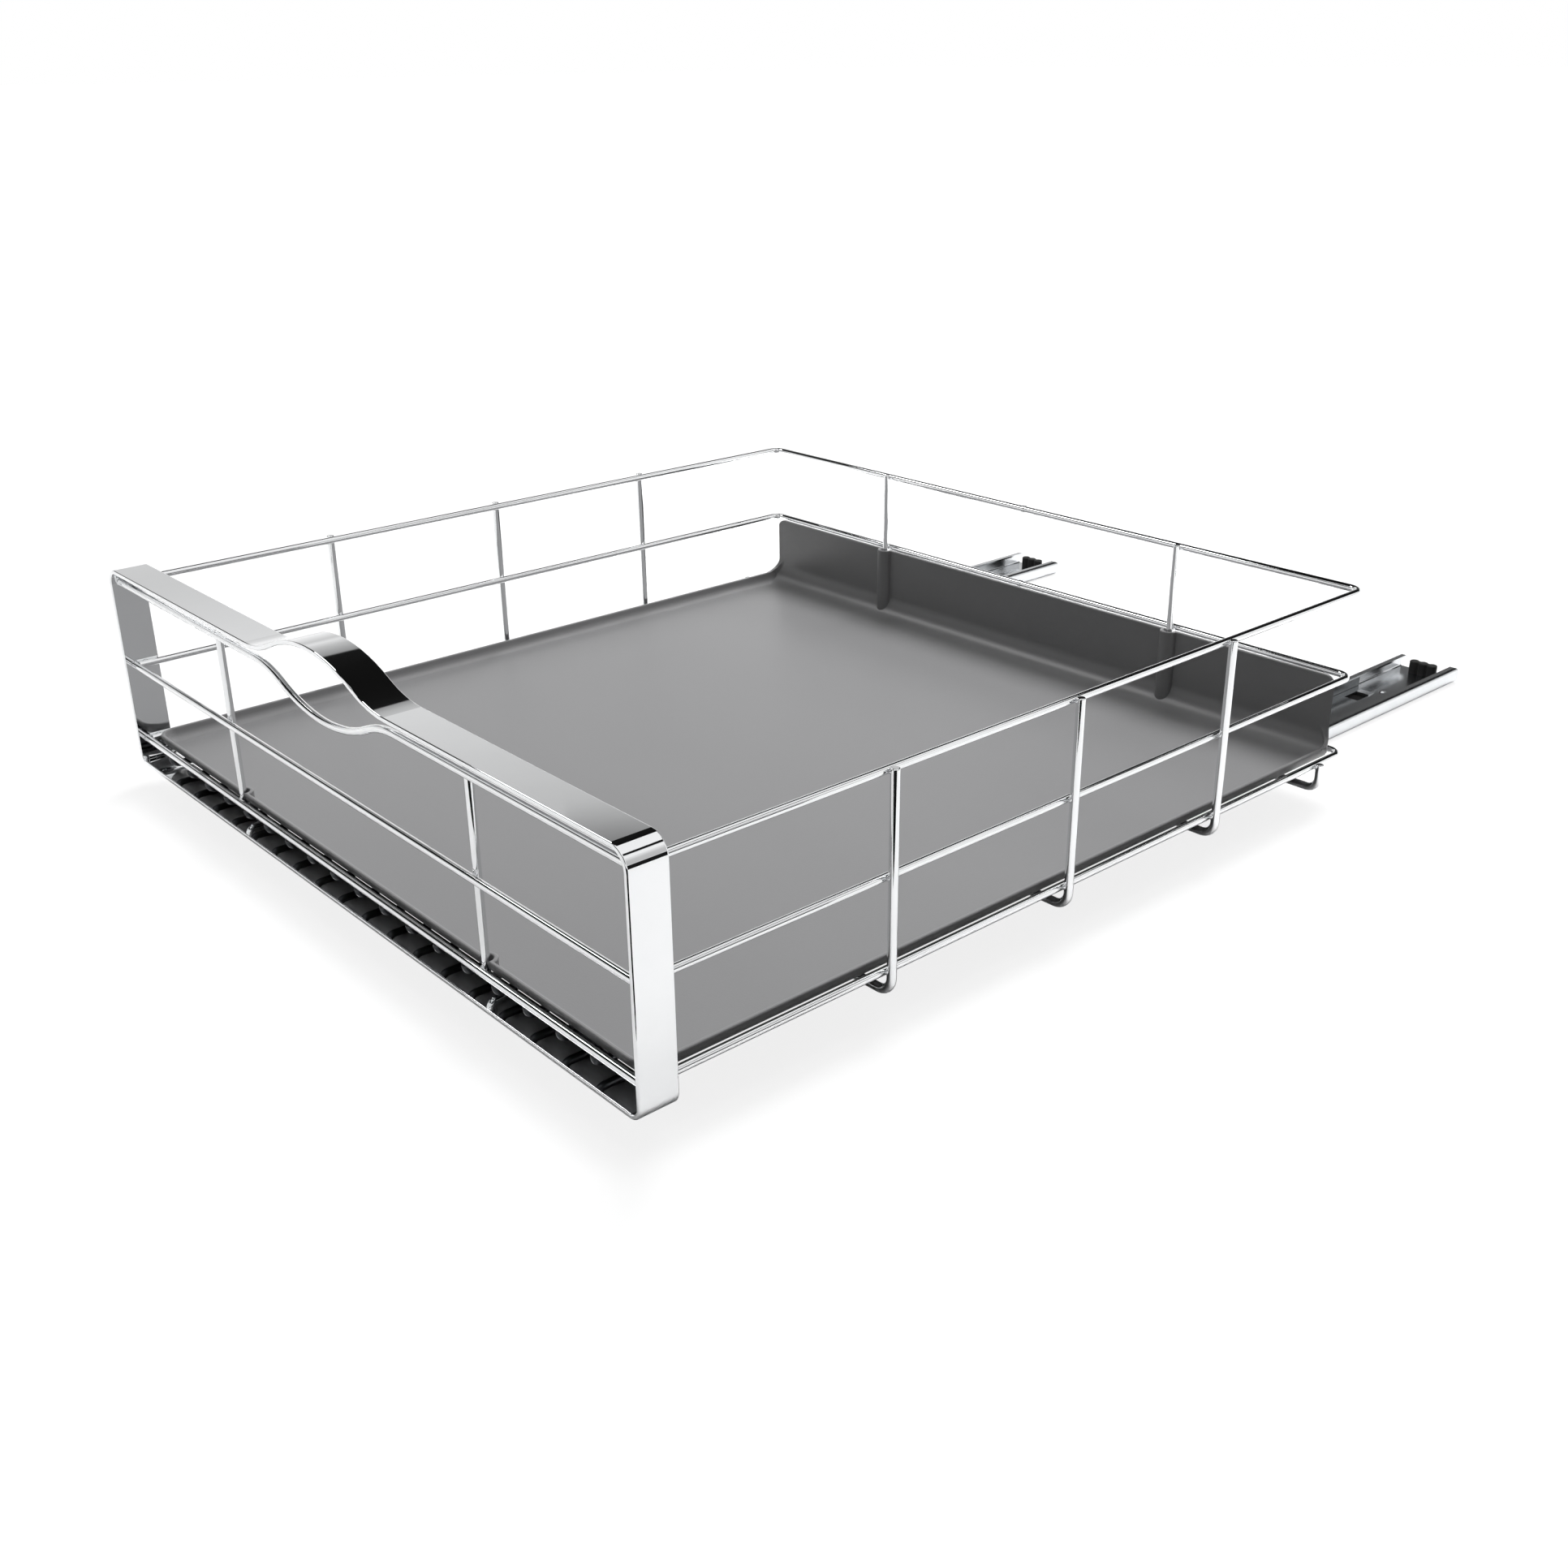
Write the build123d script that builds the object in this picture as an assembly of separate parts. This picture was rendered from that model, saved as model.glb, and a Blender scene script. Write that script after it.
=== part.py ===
from build123d import *
from math import atan, degrees, sin
import os

# Pull-out cabinet organizer: a chromed wire basket with a flat-bar front frame and a moulded
# tray, carried on two full-extension ball-bearing slides that are screwed to a cabinet floor.
#
# Millimetres, +Z up, +X to the right of a person who stands in front, +Y into the cabinet.
# The origin lies on the cabinet floor, midway between the slides and midway along them.
# The basket is drawn pulled out by REST_PULL; fully pushed in is a pull of nothing.

# Front frame: a flat bar bent into a closed loop, arched at the top into a handle
FRAME_WIDTH = 500.0
FRAME_HEIGHT = 121.0
FRAME_DEPTH = 20.0
STRIP_THICKNESS = 2.4
FRAME_TOP_RADIUS = 10.0
FRAME_BOTTOM_RADIUS = 7.0
STRIP_EDGE_RADIUS = 0.7
HANDLE_HALF_LENGTH = 70.0
HANDLE_RISE = 15.5
HANDLE_FOOT_RADIUS = 66.3
SEAM_WIDTH = 0.3
SEAM_DEPTH = 0.3

# Wires; heights are of wire centres above the frame's underside, places from its front edge
BASKET_DEPTH = 508.0
RAIL_WIRE = 4.0
CROSS_WIRE = 4.5
FLOOR_WIRE = 4.0
WELD_BITE = 0.1
BOTTOM_RAIL_HEIGHT = 14.5
MIDDLE_RAIL_HEIGHT = 61.0
TOP_RAIL_DROP = 9.5
FRONT_WIRE_PLACE = 5.5
GRIP_DIP = 14.6
RAIL_CORNER_RADIUS = 7.0
BEAD_OVERSIZE = 0.35
BEAD_LENGTH = 2.4
FLOOR_WIRE_HEIGHT = 8.4
FLOOR_WIRE_COUNT = 18
FLOOR_WIRE_INSET = 37.5
FLOOR_WIRE_BEND = 4.0
CROSS_WIRE_PLACES = {"front": 139.0, "middle": 259.5, "back": 379.0}
CROSS_WIRE_BEND = 8.0
LATCH_WIRE_SETBACK = 30.0
LATCH_WIRE_HEIGHT = 1.15
LATCH_WIRE_BEND = 7.0
UPRIGHT_GAP_COUNT = 5
UPRIGHT_SHIFT = 1.0
UPRIGHT_BEND = 4.0
WIRE_END_ROUND = 0.6

# Moulded tray that lies on the floor wires
TRAY_WALL = 2.2
TRAY_FLOOR = 2.0
TRAY_LIFT = 0.1
TRAY_END_GAP = 0.5
TRAY_SIDE_GAP = 1.3
TRAY_LIP_FLARE = 2.3
TRAY_LIP_HEIGHT = 9.0
TRAY_BACK_HEIGHT = 49.5
TRAY_BACK_NARROWING = 1.3
TRAY_BACK_CORNER = 9.0
TRAY_LIP_SWEEP = 10.0
TRAY_BACK_FILLET = 13.0
TRAY_SIDE_FILLET = 6.0
TRAY_PLAN_CORNER = 7.0
TRAY_EDGE_ROUND = 0.8
CHANNEL_CLEARANCE = 1.6
CHANNEL_WALL = 2.2

# Slides: three nested rolled-steel members with two caged rows of balls between each pair
SLIDE_LENGTH = 500.0
SLIDE_INSET = 73.5
SLIDE_WIDTH = 43.0
SLIDE_HEIGHT = 10.0
OUTER_STEEL = 1.2
MIDDLE_STEEL = 1.0
INNER_STEEL = 1.2
STEEL_BEND = 1.0
LIP_REACH = 5.3
RAIL_END_ROUND = 2.0
BALL = 3.0
BALL_CLEARANCE = 0.05
RACE_OVER_MIDDLE = 0.6
MIDDLE_WEB_GAP = 0.8
MIDDLE_WALL_GAP = 0.4
INNER_WALL_FOOT = 4.0
INNER_WEB_DROP = 0.2
MEMBER_SHORTFALL = 12.0
MEMBER_SETBACK = 0.5
CAGE_STEEL = 0.8
CAGE_WEB_STEEL = 0.4
CAGE_WEB_GAP = 0.2
CAGE_OVER_RACE = 1.8
OUTER_CAGE_LENGTH = 372.0
OUTER_CAGE_FRONT = -123.0
INNER_CAGE_LENGTH = 240.0
INNER_CAGE_FRONT = -120.0
CAGE_WEB_LENGTH = 180.0
CAGE_WEB_FRONT = -115.0
BALLS_PER_ROW = 5
BALL_FIRST_PLACE = -110.0
BALL_PITCH = 53.0

# Outer rail details; setbacks are measured from the rail's rear end
SCREW_HOLE_RADIUS = 2.2
SCREW_SPACING = 256.0
FRONT_SCREW_INSET = 37.0
PUNCHED_HOLE = 10.0
PUNCHED_HOLE_OFFSET = 8.0
PUNCHED_HOLE_SETBACK = 77.5
PUNCHED_HOLE_LENGTH = 13.0
TAB_LENGTH = 8.0
TAB_HEIGHT = 0.8
DIMPLE_RADIUS = 2.5
DIMPLE_OFFSET = 1.0
DIMPLE_SETBACK = 57.5
BUMPER_SETBACK = 7.5
BUMPER_WIDTH = 19.5
BUMPER_DROP = 0.2
BUMPER_LOBES = 3
BUMPER_NECK = 3.6
BUMPER_CHAMFER = 0.5

# Carriers: plates on the slides that hold the basket's cross wires
CARRIER_WIDTH = 24.0
CARRIER_STEEL = 1.5
CARRIER_FRONT = 30.0
HOOK_CLEARANCE = 0.4
HOOK_LIP = 5.0
SADDLE_WIDTH = 14.0
SADDLE_LENGTH = 24.0
SADDLE_CHAMFER = 1.0
CLAMP_STEEL = 1.2
CLAMP_FIT = 0.1
CLAMP_SCREW_SPREAD = 7.8
CLAMP_SCREW_RADIUS = 1.5
CLAMP_HEAD_RADIUS = 2.8
CLAMP_HEAD_HEIGHT = 1.8
SCREW_FIT = 0.15
DRIVE_WIDTH = 0.8
DRIVE_DEPTH = 0.9

# How the basket sits on the slides
FRAME_PROUD = 9.0
FRAME_CLEARANCE = 2.5
REST_PULL = 225.0

# Sizes that follow from the ones above
RAIL_RADIUS = RAIL_WIRE / 2
CROSS_RADIUS = CROSS_WIRE / 2
FLOOR_RADIUS = FLOOR_WIRE / 2
INNER_HALF_WIDTH = FRAME_WIDTH / 2 - STRIP_THICKNESS
RAIL_X = INNER_HALF_WIDTH - RAIL_RADIUS + WELD_BITE / 2
TOP_RAIL_HEIGHT = FRAME_HEIGHT - TOP_RAIL_DROP
BACK_RAIL_PLACE = BASKET_DEPTH - RAIL_RADIUS
LATCH_WIRE_PLACE = BASKET_DEPTH - LATCH_WIRE_SETBACK
FLOOR_WIRE_PITCH = (FRAME_WIDTH - 2 * FLOOR_WIRE_INSET) / (FLOOR_WIRE_COUNT - 1)
UPRIGHT_SPREAD = UPRIGHT_GAP_COUNT * FLOOR_WIRE_PITCH - UPRIGHT_SHIFT
SLIDE_SPACING = FRAME_WIDTH - 2 * SLIDE_INSET
WIRE_TOP = TOP_RAIL_HEIGHT + RAIL_RADIUS
CROSS_WIRE_HEIGHT = FLOOR_WIRE_HEIGHT - FLOOR_RADIUS - CROSS_RADIUS + WELD_BITE
CROSS_WIRE_X = RAIL_X + RAIL_RADIUS + CROSS_RADIUS - WELD_BITE
FRONT_UPRIGHT_PLACE = FRONT_WIRE_PLACE + RAIL_RADIUS + FLOOR_RADIUS - WELD_BITE
BACK_UPRIGHT_PLACE = BACK_RAIL_PLACE - RAIL_RADIUS - FLOOR_RADIUS + WELD_BITE
TRAY_BOTTOM = FLOOR_WIRE_HEIGHT + FLOOR_RADIUS + TRAY_LIFT
TRAY_FRONT = FRONT_WIRE_PLACE + RAIL_RADIUS + TRAY_END_GAP
TRAY_BACK = BACK_RAIL_PLACE - RAIL_RADIUS - TRAY_END_GAP
TRAY_HALF_WIDTH = RAIL_X - RAIL_RADIUS - TRAY_SIDE_GAP - TRAY_LIP_FLARE
RACE_HEIGHT = SLIDE_HEIGHT / 2 + RACE_OVER_MIDDLE
CAGE_TOP = RACE_HEIGHT + CAGE_OVER_RACE
MIDDLE_WALL_TOP = SLIDE_HEIGHT - OUTER_STEEL - MIDDLE_WALL_GAP
INNER_WEB_TOP = SLIDE_HEIGHT - INNER_WEB_DROP
MEMBER_LENGTH = SLIDE_LENGTH - MEMBER_SHORTFALL
FRONT_SCREW_PLACE = FRONT_SCREW_INSET - SLIDE_LENGTH / 2
PUNCHED_HOLE_PLACE = SLIDE_LENGTH / 2 - PUNCHED_HOLE_SETBACK
DIMPLE_PLACE = SLIDE_LENGTH / 2 - DIMPLE_SETBACK
BUMPER_PLACE = SLIDE_LENGTH / 2 - BUMPER_SETBACK
BUMPER_TOP = SLIDE_HEIGHT - BUMPER_DROP
OUTER_BALL_X = SLIDE_WIDTH / 2 - OUTER_STEEL - BALL_CLEARANCE - BALL / 2
MIDDLE_FACE = OUTER_BALL_X - BALL / 2 - BALL_CLEARANCE
INNER_BALL_X = MIDDLE_FACE - MIDDLE_STEEL - BALL_CLEARANCE - BALL / 2
INNER_FACE = INNER_BALL_X - BALL / 2 - BALL_CLEARANCE
MIDDLE_WEB_BOTTOM = OUTER_STEEL + MIDDLE_WEB_GAP
MIDDLE_WEB_TOP = MIDDLE_WEB_BOTTOM + MIDDLE_STEEL
MEMBER_CENTRE = (MEMBER_LENGTH - SLIDE_LENGTH) / 2 + MEMBER_SETBACK
BASKET_PLACE = -SLIDE_LENGTH / 2 - FRAME_PROUD - REST_PULL
BASKET_LIFT = SLIDE_HEIGHT + FRAME_CLEARANCE
CARRIER_BOTTOM = INNER_WEB_TOP - BASKET_LIFT
CARRIER_TOP = CARRIER_BOTTOM + CARRIER_STEEL
SADDLE_X = FLOOR_WIRE_PITCH * round(SLIDE_SPACING / 2 / FLOOR_WIRE_PITCH)
HOOK_PLACE = LATCH_WIRE_PLACE + CROSS_RADIUS + HOOK_CLEARANCE + CARRIER_STEEL / 2

# How far each follower moves for one unit of the basket's travel
MIDDLE_SHARE = 0.5
OUTER_CAGE_SHARE = 0.25
INNER_CAGE_SHARE = 0.75

SIDES = {"left": -1, "right": 1}


def handle_arcs(rise):
    """Turn of each arc and radius of the crown for a smooth arch of the given rise."""
    turn = 2 * atan(rise / HANDLE_HALF_LENGTH)
    return degrees(turn), HANDLE_HALF_LENGTH / sin(turn) - HANDLE_FOOT_RADIUS


def frame_outline(inset):
    """Closed outline of the front frame, moved inwards by inset."""
    half, grip = FRAME_WIDTH / 2, HANDLE_HALF_LENGTH
    top, low, foot = FRAME_TOP_RADIUS, FRAME_BOTTOM_RADIUS, HANDLE_FOOT_RADIUS
    angle, crown = handle_arcs(HANDLE_RISE)
    crown_z = FRAME_HEIGHT + HANDLE_RISE - crown
    top_z = FRAME_HEIGHT - top
    edges = [
        Line((low - half, inset), (half - low, inset)),
        CenterArc((half - low, low), low - inset, 270, 90),
        Line((half - inset, low), (half - inset, top_z)),
        CenterArc((half - top, top_z), top - inset, 0, 90),
        Line((half - top, FRAME_HEIGHT - inset), (grip, FRAME_HEIGHT - inset)),
        CenterArc((grip, FRAME_HEIGHT + foot), foot + inset, 270, -angle),
        CenterArc((0, crown_z), crown - inset, 90 - angle, 2 * angle),
        CenterArc((-grip, FRAME_HEIGHT + foot), foot + inset, 270 + angle, -angle),
        Line((-grip, FRAME_HEIGHT - inset), (top - half, FRAME_HEIGHT - inset)),
        CenterArc((top - half, top_z), top - inset, 90, 90),
        Line((inset - half, top_z), (inset - half, low)),
        CenterArc((low - half, low), low - inset, 180, 90),
    ]
    return make_face(Wire(edges))


def at_place(shape, place):
    """Edges of a shape that lie in the plane Y = place."""
    return shape.edges().filter_by_position(Axis.Y, place - 0.01, place + 0.01)


def at_height(shape, height):
    """Edges of a shape that lie in the plane Z = height."""
    return shape.edges().filter_by_position(Axis.Z, height - 0.01, height + 0.01)


def front_frame():
    """Flat bar loop with softly rounded edges and a shallow seam where its ends meet."""
    band = frame_outline(0) - frame_outline(STRIP_THICKNESS)
    loop = extrude(Plane.XZ * band, -FRAME_DEPTH)
    loop = fillet(at_place(loop, 0) + at_place(loop, FRAME_DEPTH), STRIP_EDGE_RADIUS)
    groove = Box(SEAM_WIDTH, FRAME_DEPTH, SEAM_DEPTH)
    for z in (SEAM_DEPTH / 2, STRIP_THICKNESS - SEAM_DEPTH / 2):
        loop -= Pos(0, FRAME_DEPTH / 2, z) * groove
    return loop


def swept(path, diameter):
    """Round wire along a path."""
    return sweep(Plane(origin=path @ 0, z_dir=path % 0) * Circle(diameter / 2), path=path)


def bent_wire(points, diameter, bend):
    """Round wire through points, bent to one radius at each corner."""
    return swept(FilletPolyline(*points, radius=bend), diameter)


def round_ends(wire, height):
    """Wire whose cut ends at the given height are rounded off."""
    return fillet(at_height(wire, height), WIRE_END_ROUND)


def front_wire(height):
    """Straight wire between the frame's two upright sides."""
    end = INNER_HALF_WIDTH + WELD_BITE
    return swept(Line((-end, FRONT_WIRE_PLACE, height), (end, FRONT_WIRE_PLACE, height)), RAIL_WIRE)


def front_top_wire():
    """Top front wire, dipped under the handle to leave room for the fingers."""
    angle, crown = handle_arcs(GRIP_DIP)
    end, grip, foot = INNER_HALF_WIDTH + WELD_BITE, HANDLE_HALF_LENGTH, HANDLE_FOOT_RADIUS
    top = TOP_RAIL_HEIGHT
    path = Wire([
        Line((-end, top), (-grip, top)),
        CenterArc((-grip, top - foot), foot, 90, -angle),
        CenterArc((0, top - GRIP_DIP + crown), crown, 270 - angle, 2 * angle),
        CenterArc((grip, top - foot), foot, 90 + angle, -angle),
        Line((grip, top), (end, top)),
    ])
    return swept(Plane.XZ.offset(-FRONT_WIRE_PLACE) * path, RAIL_WIRE)


def rail(height, beaded):
    """U-shaped rail: left side, back and right side in one wire."""
    front = FRONT_WIRE_PLACE + RAIL_RADIUS - WELD_BITE
    wire = bent_wire([(-RAIL_X, front, height), (-RAIL_X, BACK_RAIL_PLACE, height),
                      (RAIL_X, BACK_RAIL_PLACE, height), (RAIL_X, front, height)],
                     RAIL_WIRE, RAIL_CORNER_RADIUS)
    if beaded:
        bead = Cylinder(RAIL_RADIUS + BEAD_OVERSIZE, BEAD_LENGTH)
        bead = chamfer(bead.edges().filter_by(GeomType.CIRCLE), BEAD_OVERSIZE * 0.9)
        wire += Pos(0, BACK_RAIL_PLACE, height) * Rot(0, 90, 0) * bead
    return wire


def u_wire(place, top, low, bend):
    """U-shaped wire across the basket, its two uprights outside the rails."""
    wire = bent_wire([(-CROSS_WIRE_X, place, top), (-CROSS_WIRE_X, place, low),
                      (CROSS_WIRE_X, place, low), (CROSS_WIRE_X, place, top)], CROSS_WIRE, bend)
    return round_ends(wire, top)


def lengthwise_wire(side):
    """Front upright, floor run and back upright in one wire."""
    x = side * UPRIGHT_SPREAD
    wire = bent_wire([(x, FRONT_UPRIGHT_PLACE, WIRE_TOP), (x, FRONT_UPRIGHT_PLACE, FLOOR_WIRE_HEIGHT),
                      (x, BACK_UPRIGHT_PLACE, FLOOR_WIRE_HEIGHT), (x, BACK_UPRIGHT_PLACE, WIRE_TOP)],
                     FLOOR_WIRE, UPRIGHT_BEND)
    return round_ends(wire, WIRE_TOP)


def floor_wires():
    """Even row of wires under the tray, hooked up to the bottom wire and rail at their ends."""
    top = BOTTOM_RAIL_HEIGHT - RAIL_RADIUS + WELD_BITE / 2
    wire = bent_wire([(0, FRONT_WIRE_PLACE, top), (0, FRONT_WIRE_PLACE, FLOOR_WIRE_HEIGHT),
                      (0, BACK_RAIL_PLACE, FLOOR_WIRE_HEIGHT), (0, BACK_RAIL_PLACE, top)],
                     FLOOR_WIRE, FLOOR_WIRE_BEND)
    middle = (FLOOR_WIRE_COUNT - 1) / 2
    return Compound([Pos(FLOOR_WIRE_PITCH * (i - middle), 0, 0) * wire
                     for i in range(FLOOR_WIRE_COUNT)])


def rounded_at(face, corners):
    """Face with its corners nearest the given points rounded to the given radii."""
    for point, radius in corners:
        face = fillet(face.vertices().sort_by_distance((*point, 0))[0], radius)
    return face


def tray_front_view(inset, top):
    """Front view of the tray or, moved inwards by inset, of its hollow."""
    low, half = TRAY_BOTTOM + (TRAY_FLOOR if inset else 0), TRAY_HALF_WIDTH - inset
    lip_z, back_z = TRAY_BOTTOM + TRAY_LIP_HEIGHT, TRAY_BOTTOM + TRAY_BACK_HEIGHT + top
    lip_x = half + TRAY_LIP_FLARE
    back_x = lip_x - TRAY_BACK_NARROWING
    right = [(half, low), (lip_x, lip_z), (back_x, back_z)]
    points = right + [(-x, z) for x, z in reversed(right)]
    low_radius = TRAY_SIDE_FILLET + (0 if inset else TRAY_WALL)
    low_corners = [((half, low), low_radius), ((-half, low), low_radius)]
    top_corners = [((back_x, back_z), TRAY_BACK_CORNER), ((-back_x, back_z), TRAY_BACK_CORNER)]
    face = make_face(Polyline(*points, close=True))
    return rounded_at(face, low_corners + ([] if inset else top_corners))


def tray_side_view(inset, top):
    """Side view of the tray or, moved inwards by inset, of its hollow."""
    low, front, back = TRAY_BOTTOM + (TRAY_FLOOR if inset else 0), TRAY_FRONT + inset, TRAY_BACK - inset
    back_z = TRAY_BOTTOM + TRAY_BACK_HEIGHT + top
    if inset:
        face = make_face(Polyline((front, low), (back, low), (back, back_z), (front, back_z), close=True))
        return rounded_at(face, [((back, low), TRAY_BACK_FILLET)])
    lip_z, wall = TRAY_BOTTOM + TRAY_LIP_HEIGHT, TRAY_BACK - TRAY_WALL
    face = make_face(Polyline((front, low), (back, low), (back, back_z), (wall, back_z),
                              (wall, lip_z), (front, lip_z), close=True))
    return rounded_at(face, [((back, low), TRAY_BACK_FILLET + TRAY_WALL),
                             ((wall, lip_z), TRAY_LIP_SWEEP)])


def tray_form(inset, top):
    """Solid form with the tray's three rounded outlines, for its outside or its hollow."""
    reach = TRAY_HALF_WIDTH + TRAY_LIP_FLARE - inset
    middle, length = (TRAY_FRONT + TRAY_BACK) / 2, TRAY_BACK - TRAY_FRONT - 2 * inset
    across = extrude(Plane.XZ * tray_front_view(inset, top), -BASKET_DEPTH)
    along = extrude(Plane.YZ * tray_side_view(inset, top), FRAME_WIDTH / 2, both=True)
    plan = RectangleRounded(2 * reach, length, TRAY_PLAN_CORNER + (0 if inset else TRAY_WALL))
    above = Pos(0, middle, 0) * extrude(plan, FRAME_HEIGHT)
    return across & along & above


def lip_block(inset):
    """Flared block with rounded corners: the low part of the tray or of its hollow."""
    low = TRAY_BOTTOM + (TRAY_FLOOR if inset else 0)
    height = TRAY_BOTTOM + TRAY_LIP_HEIGHT - low
    length = TRAY_BACK - TRAY_FRONT - 2 * (TRAY_LIP_FLARE + inset)
    plan = RectangleRounded(2 * (TRAY_HALF_WIDTH - inset), length, TRAY_PLAN_CORNER + TRAY_WALL - inset)
    block = extrude(Pos(0, (TRAY_FRONT + TRAY_BACK) / 2, low) * plan, height,
                    taper=-degrees(atan(TRAY_LIP_FLARE / height)))
    return fillet(at_height(block, low), TRAY_SIDE_FILLET + TRAY_WALL - inset)


def slab(low_y, high_y, low_z=-FRAME_WIDTH / 2, high_z=FRAME_WIDTH / 2):
    """Block across the whole tray between two places and two heights."""
    size = Box(FRAME_WIDTH, high_y - low_y, high_z - low_z)
    return Pos(0, (low_y + high_y) / 2, (low_z + high_z) / 2) * size


def with_channels(shell, outside, place, height):
    """Tray shell with half-round channels round the two uprights that stand at a place."""
    bore = FLOOR_RADIUS + CHANNEL_CLEARANCE
    for side in SIDES.values():
        centre = Pos(side * UPRIGHT_SPREAD, place, TRAY_BOTTOM + height / 2)
        shell += (centre * Cylinder(bore + CHANNEL_WALL, height)) & outside
        shell -= centre * Cylinder(bore, 3 * height)
    return shell


def tray():
    """Tray with low rounded lips and a tall back wall that the side lips sweep up to."""
    lip_z, back_z = TRAY_BOTTOM + TRAY_LIP_HEIGHT, TRAY_BOTTOM + TRAY_BACK_HEIGHT
    sweep_start = TRAY_BACK - TRAY_WALL - TRAY_LIP_SWEEP
    front = lip_block(0)
    low = with_channels(front - lip_block(TRAY_WALL), front, FRONT_UPRIGHT_PLACE, TRAY_LIP_HEIGHT)
    low = fillet(at_height(low, lip_z), TRAY_EDGE_ROUND) & slab(0, sweep_start)
    whole = tray_form(0, 0)
    hollow = tray_form(TRAY_WALL, TRAY_LIP_SWEEP)
    rear = (whole - hollow) & slab(sweep_start, BASKET_DEPTH)
    room = whole + slab(sweep_start, TRAY_BACK - TRAY_WALL * 0.8, lip_z, back_z)
    rear = with_channels(rear, room, BACK_UPRIGHT_PLACE, TRAY_BACK_HEIGHT)
    edges = at_height(rear, back_z).filter_by(lambda edge: edge.length > 2 * TRAY_WALL)
    return low + fillet(edges, TRAY_EDGE_ROUND)


def rolled(points, steel, length, middle):
    """Rolled steel member: a bent strip through points in X and Z, drawn out along Y."""
    strip = trace(FilletPolyline(*points, radius=STEEL_BEND + steel / 2), steel)
    return Pos(0, middle, 0) * extrude(Plane.XZ * strip, length / 2, both=True)


def outer_rail():
    """Cabinet member: web, side walls and lips curled over the ball rows."""
    x, low, top = (SLIDE_WIDTH - OUTER_STEEL) / 2, OUTER_STEEL / 2, SLIDE_HEIGHT - OUTER_STEEL / 2
    lip = SLIDE_WIDTH / 2 - LIP_REACH
    section = [(-lip, top), (-x, top), (-x, low), (x, low), (x, top), (lip, top)]
    body = rolled(section, OUTER_STEEL, SLIDE_LENGTH, 0)
    side_view = make_face(Polyline((-SLIDE_LENGTH / 2, 0), (SLIDE_LENGTH / 2, 0),
                                   (SLIDE_LENGTH / 2, SLIDE_HEIGHT), (-SLIDE_LENGTH / 2, SLIDE_HEIGHT),
                                   close=True))
    side_view = rounded_at(side_view, [((end * SLIDE_LENGTH / 2, SLIDE_HEIGHT), RAIL_END_ROUND)
                                       for end in (-1, 1)])
    body &= extrude(Plane.YZ * side_view, SLIDE_WIDTH, both=True)
    for place in (-SCREW_SPACING / 2, SCREW_SPACING / 2, FRONT_SCREW_PLACE):
        body -= Pos(0, place, 0) * Cylinder(SCREW_HOLE_RADIUS, 4 * OUTER_STEEL)
    return body


def rail_details(body, side):
    """Outer rail with its punched hole, the tab raised behind it and a round dimple."""
    x = -side * PUNCHED_HOLE_OFFSET
    body -= Pos(x, PUNCHED_HOLE_PLACE, 0) * Box(PUNCHED_HOLE, PUNCHED_HOLE_LENGTH, 4 * OUTER_STEEL)
    tab_place = PUNCHED_HOLE_PLACE + (PUNCHED_HOLE_LENGTH + TAB_LENGTH) / 2
    wedge = make_face(Polyline((-TAB_LENGTH / 2, -OUTER_STEEL / 2), (TAB_LENGTH / 2, -OUTER_STEEL / 2),
                               (TAB_LENGTH / 2, 0), (-TAB_LENGTH / 2, TAB_HEIGHT), close=True))
    body += Pos(x, tab_place, OUTER_STEEL) * extrude(Plane.YZ * wedge, PUNCHED_HOLE / 2, both=True)
    dimple = Cone(DIMPLE_RADIUS, DIMPLE_RADIUS / 2, TAB_HEIGHT)
    body += Pos(-side * DIMPLE_OFFSET, DIMPLE_PLACE, OUTER_STEEL + TAB_HEIGHT / 2) * dimple
    return body


def middle_member():
    """Channel that runs inside the outer rail."""
    x, low = MIDDLE_FACE - MIDDLE_STEEL / 2, MIDDLE_WEB_BOTTOM + MIDDLE_STEEL / 2
    section = [(-x, MIDDLE_WALL_TOP), (-x, low), (x, low), (x, MIDDLE_WALL_TOP)]
    return rolled(section, MIDDLE_STEEL, MEMBER_LENGTH, MEMBER_CENTRE)


def inner_member():
    """Upside-down channel that carries the basket."""
    x, top = INNER_FACE - INNER_STEEL / 2, INNER_WEB_TOP - INNER_STEEL / 2
    section = [(-x, INNER_WALL_FOOT), (-x, top), (x, top), (x, INNER_WALL_FOOT)]
    return rolled(section, INNER_STEEL, MEMBER_LENGTH, MEMBER_CENTRE)


def ball_places():
    """Places of the balls of one row, closed."""
    return [BALL_FIRST_PLACE + BALL_PITCH * i for i in range(BALLS_PER_ROW)]


def cage(ball_x, web_bottom, length, front):
    """Thin strips along both ball rows, pierced for the balls and joined by a web."""
    height = CAGE_TOP - web_bottom
    strip = Box(CAGE_STEEL, length, height)
    body = Pos(0, CAGE_WEB_FRONT + CAGE_WEB_LENGTH / 2, web_bottom + CAGE_WEB_STEEL / 2) * Box(
        2 * ball_x, CAGE_WEB_LENGTH, CAGE_WEB_STEEL)
    for side in SIDES.values():
        body += Pos(side * ball_x, front + length / 2, web_bottom + height / 2) * strip
    for place in ball_places():
        hole = Rot(0, 90, 0) * Cylinder(BALL / 2 + BALL_CLEARANCE, 4 * ball_x)
        body -= Pos(0, place, RACE_HEIGHT) * hole
    return body


def balls(ball_x):
    """Both rows of balls of one cage."""
    return Compound([Pos(side * ball_x, place, RACE_HEIGHT) * Sphere(BALL / 2)
                     for side in SIDES.values() for place in ball_places()])


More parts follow.
